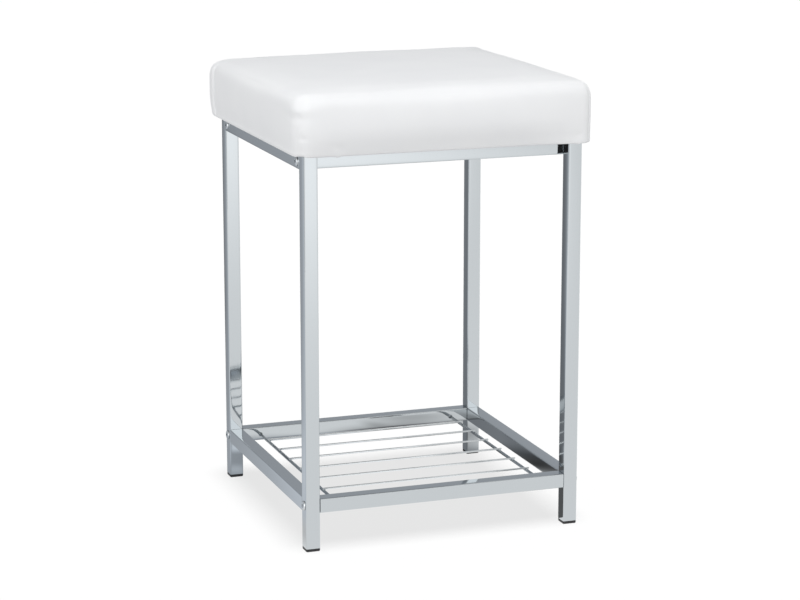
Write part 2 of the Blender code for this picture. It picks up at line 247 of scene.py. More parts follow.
# spunbonded polypropylene: thin black felt-like cloth with rows of heat-bonded dots;
# the dots of about 0.7 mm are drawn every 2.4 mm so that they show
def bondedCloth():
    material, tree, shader = startMaterial("spunbonded polypropylene", IOR=1.49, Roughness=0.85)
    place = addNode(tree, "ShaderNodeTexCoord")
    dots = addNode(tree, "ShaderNodeTexVoronoi", {"Scale": 1 / (2.4 * mm), "Randomness": 0.15},
                   {"Vector": (place, "Object")})
    tone = addNode(tree, "ShaderNodeMix", {"A": linearColour("#141416"), "B": linearColour("#2C2C30")},
                   {"Factor": (dots, "Distance")}, data_type="RGBA")
    bump = addNode(tree, "ShaderNodeBump", {"Strength": 0.5, "Distance": 0.2 * mm},
                   {"Height": (dots, "Distance")})
    linkInputs(tree, shader, {"Base Color": (tone, "Result"), "Normal": (bump, "Normal")})
    return material


blackSpunbond = bondedCloth()
print("materials made")

# square tubes: the legs and the rails
tubeShape = {
    "corner": 1.3 * mm,      # outer corner radius
    "cornerSteps": 8,
    "sideSteps": 8,          # strips across each side
    "bulge": 0.06 * mm,      # a side's middle stands proud of its edges by this much
    "endBreak": 0.25 * mm,   # burr taken off the sawn ends
    "endSteps": 2,
    "wall": 1.0 * mm,
    "screwHole": 9.5 * mm,   # way in for the seat screws, through the lower wall
    "holeSteps": 40,
    "drill": 6 * mm,         # length of the drill that cuts it
}


def openTube(bm, places):
    # round holes up through the lower wall
    solid = bpy.data.meshes.new("tube")
    bm.to_mesh(solid)
    tube = bpy.data.objects.new("tube", solid)
    scene.collection.objects.link(tube)
    radius = tubeShape["screwHole"] / 2
    drill = bmesh.new()
    for place in places:
        plug = bmesh.ops.create_cone(drill, cap_ends=True, segments=tubeShape["holeSteps"], radius1=radius,
                                     radius2=radius, depth=tubeShape["drill"])["verts"]
        bmesh.ops.translate(drill, verts=plug, vec=place)
    drillMesh = bpy.data.meshes.new("drill")
    drill.to_mesh(drillMesh)
    drill.free()
    cutter = bpy.data.objects.new("drill", drillMesh)
    scene.collection.objects.link(cutter)
    cut = tube.modifiers.new("holes", "BOOLEAN")
    cut.object = cutter
    opened = bpy.data.meshes.new_from_object(tube.evaluated_get(bpy.context.evaluated_depsgraph_get()))
    bm.clear()
    bm.from_mesh(opened)
    bpy.data.objects.remove(tube)
    bpy.data.objects.remove(cutter)


def makeTube(name):
    low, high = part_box(name)
    size = high - low
    axis = max(range(3), key=lambda i: size[i])
    length = size[axis]
    width = min(size)
    half = width / 2
    flat = half - tubeShape["corner"]
    bm = bmesh.new()
    bmesh.ops.create_cube(bm, size=1.0)
    bmesh.ops.scale(bm, vec=(width, width, length), verts=bm.verts)
    longEdges = [e for e in bm.edges if abs(e.verts[0].co.z - e.verts[1].co.z) > hair]
    bmesh.ops.bevel(bm, geom=longEdges, offset=tubeShape["corner"], offset_type="OFFSET",
                    segments=tubeShape["cornerSteps"], profile=0.5, affect="EDGES", material=-1)
    sideEdges = [e for e in bm.edges if abs(e.calc_length() - 2 * flat) < hair]
    bmesh.ops.subdivide_edges(bm, edges=sideEdges, cuts=tubeShape["sideSteps"] - 1)
    for vert in bm.verts:
        # sides fall away from their middles, and the corners follow
        for near, far in ((0, 1), (1, 0)):
            proud = max(0.0, abs(vert.co[near]) - flat) / tubeShape["corner"]
            fall = min(1.0, abs(vert.co[far]) / flat) ** 2
            vert.co[near] -= math.copysign(tubeShape["bulge"] * proud * fall, vert.co[near])
    ends = [f for f in bm.faces if abs(f.normal.z) > mostly]
    rims = [e for f in ends for e in f.edges]
    bmesh.ops.bevel(bm, geom=rims, offset=tubeShape["endBreak"], offset_type="OFFSET",
                    segments=tubeShape["endSteps"], profile=0.5, affect="EDGES", material=-1)
    ends = [f for f in bm.faces if len(f.verts) > capCorners]
    bmesh.ops.inset_individual(bm, faces=ends, thickness=tubeShape["wall"] - tubeShape["endBreak"],
                               use_even_offset=True)
    mouths = [e for f in ends for e in f.edges]
    bmesh.ops.delete(bm, geom=ends, context="FACES_ONLY")
    bmesh.ops.bridge_loops(bm, edges=mouths)
    turns = (Matrix.Rotation(math.pi / 2, 3, "Y"), Matrix.Rotation(math.pi / 2, 3, "X"), Matrix.Identity(3))
    bmesh.ops.rotate(bm, verts=bm.verts, cent=(0, 0, 0), matrix=turns[axis])
    bmesh.ops.translate(bm, verts=bm.verts, vec=(low + high) / 2)
    if name.startswith("upper_cross_rail"):
        screws = [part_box(other) for other in sorted(nodes) if other.startswith("seat_screw_")]
        middles = [(start + end) / 2 for start, end in screws]
        openTube(bm, [(m.x, m.y, low.z) for m in middles if low.y < m.y < high.y])
    return finishPiece(bm, name.replace("_", "-"), tubeChrome, [name])


for name in sorted(nodes):
    if name.startswith("leg_") or "_rail_" in name:
        makeTube(name)
print("tubes made")

# foot caps: a thin sole with a plug that goes up into the leg
footShape = {
    "sole": 3.0 * mm,
    "corner": 2.0 * mm,
    "cornerSteps": 6,
    "soleRound": 1.1 * mm,    # moulded round at the floor
    "soleSteps": 5,
    "lip": 0.25 * mm,         # round under the leg's end
    "lipSteps": 2,
    "plugInset": 1.35 * mm,
    "plugTaper": 0.94,
}


def makeFoot(name):
    low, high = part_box(name)
    size = high - low
    bm = bmesh.new()
    bmesh.ops.create_cube(bm, size=1.0)
    bmesh.ops.scale(bm, vec=(size.x, size.y, footShape["sole"]), verts=bm.verts)
    upright = [e for e in bm.edges if abs(e.verts[0].co.z - e.verts[1].co.z) > hair]
    bmesh.ops.bevel(bm, geom=upright, offset=footShape["corner"], offset_type="OFFSET",
                    segments=footShape["cornerSteps"], profile=0.5, affect="EDGES", material=-1)
    for side, rounding, steps in ((-1, "soleRound", "soleSteps"), (1, "lip", "lipSteps")):
        rim = [e for f in bm.faces if f.normal.z * side > mostly for e in f.edges]
        bmesh.ops.bevel(bm, geom=rim, offset=footShape[rounding], offset_type="OFFSET",
                        segments=footShape[steps], profile=0.5, affect="EDGES", material=-1)
    top = [f for f in bm.faces if f.normal.z > mostly and len(f.verts) > capCorners]
    bmesh.ops.inset_individual(bm, faces=top, thickness=footShape["plugInset"] - footShape["lip"],
                               use_even_offset=True)
    raised = bmesh.ops.extrude_face_region(bm, geom=top)["geom"]
    raisedVerts = [v for v in raised if isinstance(v, bmesh.types.BMVert)]
    bmesh.ops.translate(bm, verts=raisedVerts, vec=(0, 0, size.z - footShape["sole"]))
    bmesh.ops.scale(bm, verts=raisedVerts, vec=(footShape["plugTaper"], footShape["plugTaper"], 1))
    bmesh.ops.delete(bm, geom=top, context="FACES_ONLY")
    middle = (low + high) / 2
    bmesh.ops.translate(bm, verts=bm.verts, vec=(middle.x, middle.y, low.z + footShape["sole"] / 2))
    return finishPiece(bm, name.replace("_", "-"), blackPolyethylene, [name], sharp=32)


for name in sorted(nodes):
    if name.startswith("foot_cap_"):
        makeFoot(name)
print("foot caps made")

# button-head screws through the side rails and the legs
frameScrew = {
    "headRadius": 5.25 * mm,
    "headHeight": 1.8 * mm,
    "rim": 0.35 * mm,         # upright edge under the dome
    "crownRadius": 2.7 * mm,  # flat ring round the socket
    "socketFlats": 4.0 * mm,
    "socketDepth": 1.5 * mm,
    "shankRadius": 2.85 * mm,
    "steps": 48,
}
seatScrew = {
    "headRadius": 4.0 * mm,
    "headHeight": 2.4 * mm,
    "rim": 0.4 * mm,
    "crownRadius": 2.0 * mm,
    "socketFlats": 2.5 * mm,
    "socketDepth": 1.3 * mm,
    "shankRadius": 1.85 * mm,
    "steps": 36,
}
screwEdges = {
    "domeSteps": 8,
    "underHead": 0.1 * mm,    # broken edges: under the head, at the tip and at the socket's mouth
    "tip": 0.4 * mm,
    "mouth": 0.15 * mm,
}


def makeScrew(name, screw, outward):
    # modelled with its head up and the face under the head at z = 0, then turned outward
    low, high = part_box(name)
    size = high - low
    axis = max(range(3), key=lambda i: abs(outward[i]))
    shank = size[axis] - screw["headHeight"]
    bm = bmesh.new()
    head, crown, body = screw["headRadius"], screw["crownRadius"], screw["shankRadius"]
    under, tip = screwEdges["underHead"], screwEdges["tip"]
    rise = screw["headHeight"] - screw["rim"]
    profile = [(crown, screw["headHeight"])]
    for step in range(1, screwEdges["domeSteps"] + 1):
        angle = step / screwEdges["domeSteps"] * math.pi / 2
        profile.append((crown + (head - crown) * math.sin(angle), screw["rim"] + rise * math.cos(angle)))
    profile += [(head, under), (head - under, 0), (body, 0), (body, tip - shank), (body - tip, -shank),
                (0, -shank)]
    line = [bm.verts.new((radius, 0, height)) for radius, height in profile]
    edges = [bm.edges.new(pair) for pair in zip(line, line[1:])]
    bmesh.ops.spin(bm, geom=line + edges, cent=(0, 0, 0), axis=(0, 0, 1), angle=2 * math.pi,
                   steps=screw["steps"], use_merge=True)
    bmesh.ops.remove_doubles(bm, verts=bm.verts, dist=hair / 10)
    mouth = [e for e in bm.edges if e.is_boundary]
    depths = (screw["headHeight"] - screwEdges["mouth"], screw["headHeight"] - screw["socketDepth"])
    for depth in depths:
        sunk = bmesh.ops.extrude_edge_only(bm, edges=mouth)["geom"]
        mouth = [e for e in sunk if isinstance(e, bmesh.types.BMEdge)]
        for vert in (v for v in sunk if isinstance(v, bmesh.types.BMVert)):
            # the round mouth becomes a hexagon
            angle = math.atan2(vert.co.y, vert.co.x)
            lean = (angle + math.pi / 6) % (math.pi / 3) - math.pi / 6
            radius = screw["socketFlats"] / 2 / math.cos(lean)
            vert.co = (radius * math.cos(angle), radius * math.sin(angle), depth)
    bmesh.ops.contextual_create(bm, geom=[e for e in bm.edges if e.is_boundary])
    turn = Vector((0, 0, 1)).rotation_difference(Vector(outward)).to_matrix()
    bmesh.ops.rotate(bm, verts=bm.verts, cent=(0, 0, 0), matrix=turn)
    seat = (low + high) / 2
    seat[axis] = (low if outward[axis] < 0 else high)[axis] - screw["headHeight"] * outward[axis]
    bmesh.ops.translate(bm, verts=bm.verts, vec=seat)
    return finishPiece(bm, name.replace("_", "-"), zincSteel, [name], sharp=30)


frameScrews = []
for name in sorted(nodes):
    if name.startswith("frame_screw_"):
        frameScrews.append(makeScrew(name, frameScrew, (-1, 0, 0) if name.endswith("left") else (1, 0, 0)))
    elif name.startswith("seat_screw_"):
        makeScrew(name, seatScrew, (0, 0, -1))
print("screws made")

# wire shelf: thick end wires from rail to rail, thin wires welded across them
wireShape = {
    "sides": 24,
    "endRound": 0.3 * mm,
    "endSteps": 2,
    # half sizes of the bead where an end wire meets a rail, and of the spot under each crossing
    "railWeld": (2.5 * mm, 1.0 * mm, 2.5 * mm),
    "crossWeld": (1.35 * mm, 1.25 * mm, 0.75 * mm),
}


def weldSpot(bm, place, halves):
    ball = bmesh.ops.create_icosphere(bm, subdivisions=2, radius=1.0)["verts"]
    bmesh.ops.scale(bm, vec=halves, verts=ball)
    bmesh.ops.translate(bm, vec=place, verts=ball)


def makeWire(name, material, welds, halves):
    low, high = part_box(name)
    size = high - low
    axis = max(range(3), key=lambda i: size[i])
    radius = min(size) / 2
    bm = bmesh.new()
    bmesh.ops.create_cone(bm, cap_ends=True, segments=wireShape["sides"], radius1=radius, radius2=radius,
                          depth=size[axis])
    rims = [e for f in bm.faces if len(f.verts) > capCorners for e in f.edges]
    bmesh.ops.bevel(bm, geom=rims, offset=wireShape["endRound"], offset_type="OFFSET",
                    segments=wireShape["endSteps"], profile=0.5, affect="EDGES", material=-1)
    turn = Matrix.Rotation(math.pi / 2, 3, "Y" if axis == 0 else "X")
    bmesh.ops.rotate(bm, verts=bm.verts, cent=(0, 0, 0), matrix=turn)
    bmesh.ops.translate(bm, verts=bm.verts, vec=(low + high) / 2)
    for place in welds:
        weldSpot(bm, place, halves)
    return finishPiece(bm, name.replace("_", "-"), material, [name], sharp=24)


endWireLines = []
for name in sorted(nodes):
    if name.startswith("shelf_end_wire_"):
        low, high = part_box(name)
        middle = (low + high) / 2
        endWireLines.append((middle.x, high.z))
        joints = [(middle.x, low.y, middle.z), (middle.x, high.y, middle.z)]
        makeWire(name, rodChrome, joints, wireShape["railWeld"])
for name in sorted(nodes):
    if name.startswith("shelf_wire_"):
        low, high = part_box(name)
        spots = [(x, (low.y + high.y) / 2, (top + low.z) / 2) for x, top in endWireLines]
        makeWire(name, wireChrome, spots, wireShape["crossWeld"])
print("wire shelf made")

# seat pad: foam under a cover of faux leather that is pulled round the board's edge
seatPad = {
    "cellsAcross": 40,
    "cellsHigh": 18,
    "evenShare": 0.35,         # the other cells crowd towards the edges
    "crowd": 2.2,
    "subdivisions": 2,
    # upright corners, by the signs of x and y: their radius, and how much rounder the top edge is there
    "corners": {
        (-1, -1): (20 * mm, 6 * mm),
        (1, -1): (12 * mm, 4.3 * mm),
        (-1, 1): (9 * mm, 4 * mm),
        (1, 1): (17 * mm, 0 * mm),
    },
    "topRound": 15 * mm,
    "dropReach": 36 * mm,      # the top edge gets rounder from this far before a corner
    "lowRound": 1.3 * mm,
    "crown": 2.0 * mm,         # the middle of the top over its edges
    "ease": 1.2 * mm,          # starts this much smaller all round, because it swells
    # the swelling
    "frames": 20,
    "quality": 5,
    "pressure": 0.45,
    "stiffness": 60.0,
    "shear": 20.0,
    "bending": 2.0,
    "airDamping": 5.0,
    "held": 6 * mm,            # stapled up to this height
    "mostSwell": 3.2 * mm,
    "swellFrom": 18 * mm,      # full swelling from this height up
    "evenOut": 6,              # rounds of averaging the swelling between neighbours
    # the pull of the cover; a pair of depths, from the outside, is where an effect begins and is full
    "frontTuck": 5.0 * mm,     # the lower edge is drawn in under the pad
    "sideTuck": 2.6 * mm,
    "tuckHeight": 30 * mm,
    "tuckShare": {(-1, -1): 1.0, (1, -1): 0.15, (-1, 1): 0.9, (1, 1): 0.5},   # left of it at each corner
    "cornerShares": (0.55, 0.95),   # of the half width, between which a corner begins
    "lowering": 1.2 * mm,      # the lower edge hangs a little below the top of the rails
    "loweringDepths": (7 * mm, 3 * mm),
    "tilt": 1.1 * mm,          # the top rises by this much to the right and falls to the left
    "tiltDepths": (45 * mm, 12 * mm),
    "rightDraw": 3.0 * mm,     # the right side is drawn in
    "drawReach": 30 * mm,
    "fullness": 2.6 * mm,      # the front swells out between its corners
    "fullnessDepths": (30 * mm, 6 * mm),
    "roll": 0.5 * mm,          # low roll where the cover turns round the board
    "rollLevel": 3 * mm,
    "rollTall": 2.2 * mm,
    "waver": 0.35 * mm,        # slow unevenness of the foam
    "waverLength": 70 * mm,
    "waverFrom": 10 * mm,
    # flaps of cover folded round three corners: where each begins and ends, from the corner's middle (less
    # than 0 on the side face), how soft these edges are, how far it stands out, and the depth and half
    # width of the groove along its sharper edge
    "flaps": {
        (1, -1): {"begin": -32 * mm, "end": 0.8 * mm, "beginEdge": 8 * mm, "endEdge": 1.0 * mm,
                  "stand": 0.3 * mm, "groove": 1.6 * mm, "grooveWide": 1.1 * mm},
        (-1, 1): {"begin": -21 * mm, "end": 30 * mm, "beginEdge": 1.0 * mm, "endEdge": 8 * mm,
                  "stand": 1.5 * mm, "groove": 2.4 * mm, "grooveWide": 1.7 * mm},
        (1, 1): {"begin": -32 * mm, "end": 3.0 * mm, "beginEdge": 8 * mm, "endEdge": 1.2 * mm,
                 "stand": 0.5 * mm, "groove": 1.0 * mm, "grooveWide": 1.3 * mm},
    },
    "flapFoot": 5 * mm,        # a flap is full from this height up
    "flapDepths": (9 * mm, 5.5 * mm),   # and ends between these depths under the top
    # dents (and ridges, whose depth is less than 0) where the cover was pulled over the nearest corner:
    # how far round from its middle, how far up from the lower edge, half width, half height, depth
    "dents": [
        (1.0 * mm, 50.0 * mm, 8.0 * mm, 4.0 * mm, -0.6 * mm),
        (-8.0 * mm, 42.0 * mm, 20.0 * mm, 5.0 * mm, 1.0 * mm),
        (3.4 * mm, 20.0 * mm, 6.0 * mm, 3.2 * mm, 0.7 * mm),
    ],
    # puckers in the front lower edge: where they are along X, how far they droop, half width
    "puckers": [(-125 * mm, 1.1 * mm, 3.4 * mm), (151 * mm, 0.9 * mm, 3.0 * mm)],
    "puckerDepths": (16 * mm, 8 * mm),
    "puckerHeight": 8 * mm,
    "puckerDent": 0.45,        # the cover is dented above a pucker by this share of its droop
    "dentWiden": 1.8,
    "dentLevel": 10 * mm,
    "dentTall": 4 * mm,
    # the hem and the pocket for the board
    "hem": 28 * mm,            # turned under the board
    "hemLift": 1.6 * mm,
    "pocketCorner": 12 * mm,   # the board's corner radius
    "pocketGap": 0.4 * mm,     # round the board
    "foamGap": 0.3 * mm,       # over the board
}


def crowdedShare(share):
    # -1 to 1, partly evenly spread and partly crowded towards the ends
    size = abs(share)
    even = seatPad["evenShare"]
    return math.copysign(even * size + (1 - even) * (1 - (1 - size) ** seatPad["crowd"]), share)


def roundOff(along, up):
    # a point in the square corner moves to the same place in a round one
    reach = math.hypot(along, up)
    scale = max(along, up) / reach if reach > 0 else 1.0
    return along * scale, up * scale


def cornerOf(place):
    return (1 if place.x > 0 else -1, 1 if place.y > 0 else -1)


def padCage():
    low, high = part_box("seat_cover")
    half = (high.x - low.x) / 2 - seatPad["ease"]
    bottom = low.z
    top = high.z - seatPad["crown"] - seatPad["ease"]
    bm = bmesh.new()
    bmesh.ops.create_cube(bm, size=2.0)
    level = [e for e in bm.edges if abs(e.verts[0].co.z - e.verts[1].co.z) < 1]
    bmesh.ops.subdivide_edges(bm, edges=level, cuts=seatPad["cellsAcross"] - 1, use_grid_fill=True)
    standing = [e for e in bm.edges if abs(e.verts[0].co.z - e.verts[1].co.z) > 1]
    bmesh.ops.subdivide_edges(bm, edges=standing, cuts=seatPad["cellsHigh"] - 1, use_grid_fill=True)
    for vert in bm.verts:
        x, y = (crowdedShare(c) * half for c in vert.co.xy)
        upright, drop = seatPad["corners"][cornerOf(vert.co)]
        inner = half - upright
        z = (bottom + top) / 2 + crowdedShare(vert.co.z) * (top - bottom) / 2
        ax, ay = abs(x), abs(y)
        # the top and bottom edges
        inset = half - max(ax, ay)
        upper = vert.co.z > 0
        nearCorner = easeStep(half - seatPad["dropReach"], half, min(ax, ay))
        radius = seatPad["topRound"] + drop * nearCorner if upper else seatPad["lowRound"]
        away = top - z if upper else z - bottom
        along, up = roundOff(max(0.0, radius - inset), max(0.0, radius - away))
        drawn = max(0.0, radius - inset) - along
        if away < radius:
            z = top - radius + up if upper else bottom + radius - up
        # the upright corners
        ux, uy = max(0.0, ax - inner), max(0.0, ay - inner)
        if ux > 0 and uy > 0:
            ux, uy = roundOff(ux, uy)
            outward = Vector((ux, uy)).normalized()
            ax, ay = inner + ux, inner + uy
        else:
            outward = Vector((1, 0)) if ax > ay else Vector((0, 1))
        ax -= outward.x * drawn
        ay -= outward.y * drawn
        vert.co = (math.copysign(ax, x), math.copysign(ay, y), z)
    bmesh.ops.recalc_face_normals(bm, faces=bm.faces)
    mesh = bpy.data.meshes.new("padCage")
    bm.to_mesh(mesh)
    bm.free()
    return mesh


def swellPad(mesh):
    # the cover blown up a little against its own stretch, held where it is stapled to the board
    pad = bpy.data.objects.new("padCage", mesh)
    scene.collection.objects.link(pad)
    start = [v.co.copy() for v in mesh.vertices]
    bottom = min(co.z for co in start)
    held = pad.vertex_groups.new(name="held")
    held.add([i for i, co in enumerate(start) if co.z < bottom + seatPad["held"]], 1.0, "REPLACE")
    swell = pad.modifiers.new("swell", "CLOTH")
    swell.collision_settings.use_collision = False
    cover = swell.settings
    cover.quality = seatPad["quality"]
    cover.tension_stiffness = seatPad["stiffness"]
    cover.compression_stiffness = seatPad["stiffness"]
    cover.shear_stiffness = seatPad["shear"]
    cover.bending_stiffness = seatPad["bending"]
    cover.air_damping = seatPad["airDamping"]
    cover.use_pressure = True
    cover.uniform_pressure_force = seatPad["pressure"]
    cover.vertex_group_mass = "held"
    cover.effector_weights.gravity = 0.0
    for step in range(1, seatPad["frames"] + 1):
        scene.frame_set(step)
    swollen = pad.evaluated_get(bpy.context.evaluated_depsgraph_get())
    moved = [v.co.copy() for v in swollen.data.vertices]
    scene.frame_set(1)
    bpy.data.objects.remove(pad)
    paths = [after - before for before, after in zip(start, moved)]
    paths = [path * min(1.0, seatPad["mostSwell"] / max(path.length, hair)) for path in paths]
    bm = bmesh.new()
    bm.from_mesh(mesh)
    around = [[edge.other_vert(vert).index for edge in vert.link_edges] for vert in bm.verts]
    bm.free()
    for evening in range(seatPad["evenOut"]):
        means = [sum((paths[i] for i in near), Vector()) / len(near) for near in around]
        paths = [(path + mean) / 2 for path, mean in zip(paths, means)]
    for vert, before, path in zip(mesh.vertices, start, paths):
        vert.co = before + path * easeStep(0, seatPad["swellFrom"], before.z - bottom)


def smoothCopy(mesh, levels):
    holder = bpy.data.objects.new("padCage", mesh)
    scene.collection.objects.link(holder)
    smooth = holder.modifiers.new("smooth", "SUBSURF")
    smooth.levels = levels
    smooth.render_levels = levels
    fine = bpy.data.meshes.new_from_object(holder.evaluated_get(bpy.context.evaluated_depsgraph_get()))
    bpy.data.objects.remove(holder)
    return fine


def aroundCorner(pastX, pastY, radius):
    # distance round the pad from a corner's middle, which is less than 0 on the side face
    quarter = radius * math.pi / 4
    pastX += radius
    pastY += radius
    if pastX > 0 and pastY > 0:
        return (math.atan2(pastY, pastX) - math.pi / 4) * radius
    return pastY - quarter if pastX > pastY else quarter - pastX


def intoRound(co, half, radius):
    # a point near the corner of a square moves to the same place near a rounded one
    inner = half - radius
    alongX, alongY = roundOff(max(0.0, abs(co.x) - inner), max(0.0, abs(co.y) - inner))
    co.x = math.copysign(min(abs(co.x), inner) + alongX, co.x)
    co.y = math.copysign(min(abs(co.y), inner) + alongY, co.y)


def padDetail(co, normal, half, height, bottom):
    # what the pull of the cover adds to the swollen form
    up = co.z - bottom
    outward = Vector((normal.x, normal.y, 0))
    move = Vector((0, 0, 0))
    # the sides lean in towards the lower edge, and the front and rear more so
    corner = cornerOf(co)
    begins, full = seatPad["cornerShares"]
    nearCorner = easeStep(begins, full, abs(co.x) / half) * easeStep(begins, full, abs(co.y) / half)
    lean = max(0.0, 1 - up / seatPad["tuckHeight"]) ** 2
    tuck = lean * (1 - (1 - seatPad["tuckShare"][corner]) * nearCorner)
    move.x -= co.x / half * seatPad["sideTuck"] * tuck
    move.y -= co.y / half * seatPad["frontTuck"] * tuck
    begins, full = seatPad["loweringDepths"]
    move.z -= seatPad["lowering"] * easeStep(half - begins, half - full, max(abs(co.x), abs(co.y))) * lean
    # the top tilts a little, the right side is drawn in, and the front is full in its middle
    begins, full = seatPad["tiltDepths"]
    move.z += seatPad["tilt"] * co.x / half * easeStep(height - begins, height - full, up)
    move.x -= seatPad["rightDraw"] * easeStep(half - seatPad["drawReach"], half, co.x)
    begins, full = seatPad["fullnessDepths"]
    barrel = max(0.0, 1 - (co.x / half) ** 4) * math.sin(math.pi * min(1.0, max(0.0, up / height)))
    move.y -= seatPad["fullness"] * barrel * easeStep(half - begins, half - full, -co.y)
    move += outward * seatPad["roll"] * abs(outward.x) * bell(up - seatPad["rollLevel"], seatPad["rollTall"])
    waver = noise.noise(co * (1 / seatPad["waverLength"])) * seatPad["waver"]
    move += normal * waver * easeStep(0, seatPad["waverFrom"], up)
    # folds round three corners, and the dents of the nearest one
    along = aroundCorner(abs(co.x) - half, abs(co.y) - half, seatPad["corners"][corner][0])
    if corner in seatPad["flaps"]:
        fold = seatPad["flaps"][corner]
        begin, end = fold["begin"], fold["end"]
        flap = easeStep(begin - fold["beginEdge"], begin + fold["beginEdge"], along)
        flap *= 1 - easeStep(end - fold["endEdge"], end + fold["endEdge"], along)
        begins, full = seatPad["flapDepths"]
        fade = easeStep(0, seatPad["flapFoot"], up) * (1 - easeStep(height - begins, height - full, up))
        line = begin if fold["beginEdge"] < fold["endEdge"] else end
        groove = fold["groove"] * bell(along - line, fold["grooveWide"])
        move += outward * (fold["stand"] * flap - groove) * fade
    else:
        for middle, level, wide, tall, depth in seatPad["dents"]:
            move -= outward * depth * bell(along - middle, wide) * bell(up - level, tall)
    # puckers in the front lower edge
    if co.y < 0:
        begins, full = seatPad["puckerDepths"]
        atFront = easeStep(half - begins, half - full, -co.y)
        for place, droop, wide in seatPad["puckers"]:
            fade = 1 - easeStep(0, seatPad["puckerHeight"], up)
            move.z -= droop * atFront * bell(co.x - place, wide) * fade
            dent = droop * seatPad["puckerDent"] * bell(co.x - place, wide * seatPad["dentWiden"])
            move -= outward * dent * bell(up - seatPad["dentLevel"], seatPad["dentTall"])
    return move


def makeSeat():
    mesh = padCage()
    swellPad(mesh)
    mesh = smoothCopy(mesh, seatPad["subdivisions"])
    coverLow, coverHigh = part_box("seat_cover")
    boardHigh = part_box("seat_board")[1]
    half = (coverHigh.x - coverLow.x) / 2
    bm = bmesh.new()
    bm.from_mesh(mesh)
    bm.normal_update()
    for vert in bm.verts:
        vert.co += padDetail(vert.co, vert.normal, half, coverHigh.z - coverLow.z, coverLow.z)
    # the underside opens inside the hem, where the board shows
    hemLine = half - seatPad["hem"]
    under = [f for f in bm.faces if f.normal.z < -mostly and f.calc_center_median().z < coverLow.z + mm
             and max(abs(f.calc_center_median().x), abs(f.calc_center_median().y)) < hemLine]
    bmesh.ops.delete(bm, geom=under, context="FACES")
    mouth = [e for e in bm.edges if e.is_boundary]
    hemTop = coverLow.z + seatPad["hemLift"]
    foamFloor = boardHigh.z + seatPad["foamGap"]
    boardHalf = boardHigh.x + seatPad["pocketGap"]
    levels = ((hemTop, 1.0), (hemTop, boardHalf / hemLine), (foamFloor, 1.0))
    for height, widen in levels:
        sunk = bmesh.ops.extrude_edge_only(bm, edges=mouth)["geom"]
        mouth = [e for e in sunk if isinstance(e, bmesh.types.BMEdge)]
        for vert in (v for v in sunk if isinstance(v, bmesh.types.BMVert)):
            vert.co.x *= widen
            vert.co.y *= widen
            vert.co.z = height
            intoRound(vert.co, boardHalf, seatPad["pocketCorner"])
    bmesh.ops.contextual_create(bm, geom=mouth)
    bmesh.ops.triangulate(bm, faces=[f for f in bm.faces if len(f.verts) > 4])
    pad = finishPiece(bm, "seat-pad", whiteVinyl, ["seat_cover", "seat_foam"], sharp=60)
    return pad


seat = makeSeat()
print("seat pad made:", len(seat.data.polygons), "faces")

# underside cloth: a thin sheet stapled over the board's underside
clothShape = {
    "cells": 40,
    "thickness": 0.5 * mm,
    "sag": 0.15 * mm,
    "slackLength": 45 * mm,
    "slackFrom": 30 * mm,      # full slack this far from the edges
}


def makeCloth():
    low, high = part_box("underside_cloth")
    size = high - low
    middle = (low + high) / 2
    bm = bmesh.new()
    bmesh.ops.create_grid(bm, x_segments=clothShape["cells"], y_segments=clothShape["cells"], size=0.5)
    bmesh.ops.scale(bm, vec=(size.x, size.y, 1), verts=bm.verts)
    for vert in bm.verts:
        edge = min(size.x / 2 - abs(vert.co.x), size.y / 2 - abs(vert.co.y))
        slack = (1 + noise.noise(vert.co * (1 / clothShape["slackLength"]))) / 2
        vert.co.z = -clothShape["sag"] * slack * easeStep(0, clothShape["slackFrom"], edge)
    bmesh.ops.translate(bm, verts=bm.verts, vec=(middle.x, middle.y, high.z - clothShape["thickness"]))
    sheet = finishPiece(bm, "underside-cloth", blackSpunbond, ["underside_cloth"],
                        sharp=60)
    body = sheet.modifiers.new("thickness", "SOLIDIFY")
    body.thickness = clothShape["thickness"]
    body.offset = 0.0
    return sheet


makeCloth()
print("underside cloth made")

# CAD nodes that stay as they are, with their finish
for name, node in nodes.items():
    if name == "seat_board":
        node.data.materials.clear()
        node.data.materials.append(birchPlywood)
    elif name.startswith("rail_insert"):
        node.data.materials.clear()
        node.data.materials.append(zincSteel)
print("CAD nodes dressed")

# studio: a white floor, a soft room, two lamps, one more for the screw heads, one overhead for the
# shadow, and a floor, a wall and cards that only the gloss sees
studio = {
    "floorSize": 40.0,
    "floorColour": "#454545",  # dark, because the floor's white comes from below
    "floorGlow": 0.755,        # so that little but the overhead lamp's shadow shows on it
    "room": 0.755,
    "roomRight": 0.38,         # the room is darker on the right, which draws the seat's right edge
    "rightTurn": (0.45, 0.98),   # how far to the right it begins to darken, and is darkest
    "lamps": [
        {"place": (-0.1, -0.94, 1.46), "aim": (0, 0, 0.48), "size": 0.9, "power": 7.08},
        {"place": (-1.35, -0.35, 0.85), "aim": (0, 0, 0.45), "size": 1.0, "power": 2.7},
    ],
    "glint": {"place": (-1.0, -1.1, 0.6), "aim": (-0.16, 0, 0.25), "size": 1.5, "power": 15.0},
    # nearly straight down; the spread, in degrees, softens the shadow's edge
    "overhead": {"place": (0, -0.11, 3.0), "aim": (0, 0, 0), "spread": 6.5, "power": 11.2},
}
